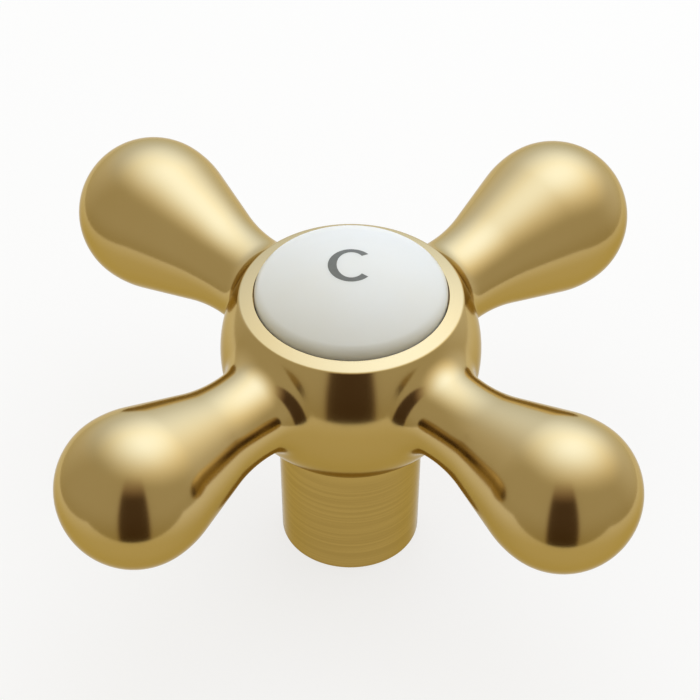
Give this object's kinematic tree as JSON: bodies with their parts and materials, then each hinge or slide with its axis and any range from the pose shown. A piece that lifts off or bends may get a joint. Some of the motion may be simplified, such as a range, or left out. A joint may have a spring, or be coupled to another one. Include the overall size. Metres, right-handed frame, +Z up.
{
  "type": "cross tap handle",
  "caption": "Cross handle for a tap: a brass ball hub with round teardrop arms on a short splined neck, closed on top by a domed white porcelain button.",
  "frame": {"origin": "middle of the neck's bottom rim, where the handle stands", "axes": "+Z up along the spindle's axis, with the four arms along +X, +Y, -X and -Y"},
  "size_m": [0.072, 0.072, 0.0344],
  "materials": {
    "cast_brass": "satin",
    "porcelain": "gloss",
    "turned_brass": "satin",
    "seal_rubber": "matte",
    "screw_steel": "satin"
  },
  "bodies": {
    "root": {"handle_body": "cast_brass", "index_button": "porcelain", "button_plug": "turned_brass", "button_o_ring": "seal_rubber", "handle_screw": "screw_steel"}
  },
  "joints": []
}
